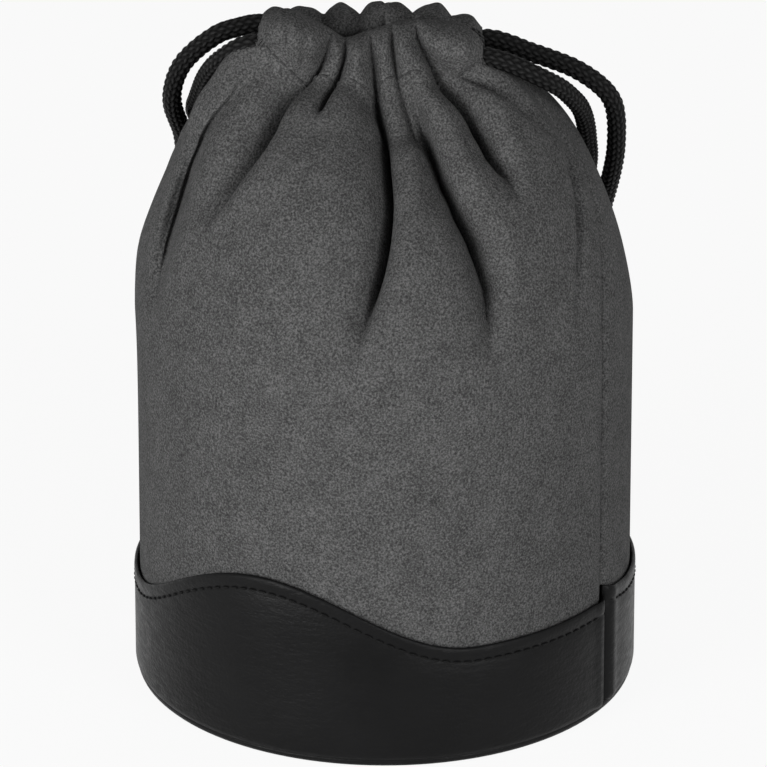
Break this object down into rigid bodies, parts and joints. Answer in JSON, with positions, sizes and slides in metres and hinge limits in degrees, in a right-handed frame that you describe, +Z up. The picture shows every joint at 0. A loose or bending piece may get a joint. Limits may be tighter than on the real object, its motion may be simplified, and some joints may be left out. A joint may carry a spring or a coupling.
{
  "type": "drawstring lens pouch",
  "caption": "Round soft pouch with a stiff leather base and band, a suede body gathered at the mouth by drawcords that pull out and swing at both sides.",
  "frame": {"origin": "centre of the base, on the surface that the pouch stands on", "axes": "+Z up through the mouth; -Y to the front, where the leather band rises in a wave; the side seams start at -X and +X"},
  "size_m": [0.1235, 0.1322, 0.165],
  "materials": {
    "suede": "matte brushed nap with fine speckle",
    "leather": "smooth, soft sheen, fine grain",
    "cord": "matte braid",
    "lining": "matte",
    "foam": "matte open-cell foam",
    "board": "matte fibre board"
  },
  "bodies": {
    "pouch": {"base_disc": "leather", "base_board": "board", "base_pad": "foam", "floor_lining": "lining", "band_front": "leather", "band_back": "leather", "body_front": "suede", "body_back": "suede", "hem_front": "suede", "hem_back": "suede", "left_cord_run": "cord", "right_cord_run": "cord"},
    "left_leads": {"left_front_lead": "cord", "left_back_lead": "cord"},
    "left_loop": {"left_front_strand": "cord", "left_back_strand": "cord", "left_knot": "cord"},
    "right_leads": {"right_front_lead": "cord", "right_back_lead": "cord"},
    "right_loop": {"right_front_strand": "cord", "right_back_strand": "cord", "right_knot": "cord"}
  },
  "joints": [
    {"name": "left_pull", "type": "slide", "parent": "pouch", "child": "left_leads", "axis": [-0.8788, -0.4772, 0], "range_m": [0, 0.02]},
    {"name": "left_swing", "type": "hinge", "parent": "left_leads", "child": "left_loop", "pos_m": [-0.03146, -0.01708, 0.1611], "axis": [-0.4772, 0.8788, 0], "range_deg": [0, 70]},
    {"name": "right_pull", "type": "slide", "parent": "pouch", "child": "right_leads", "axis": [0.8788, 0.4772, 0], "range_m": [0, 0.02]},
    {"name": "right_swing", "type": "hinge", "parent": "right_leads", "child": "right_loop", "pos_m": [0.02619, 0.01422, 0.1557], "axis": [0.4772, -0.8788, 0], "range_deg": [0, 70]}
  ]
}
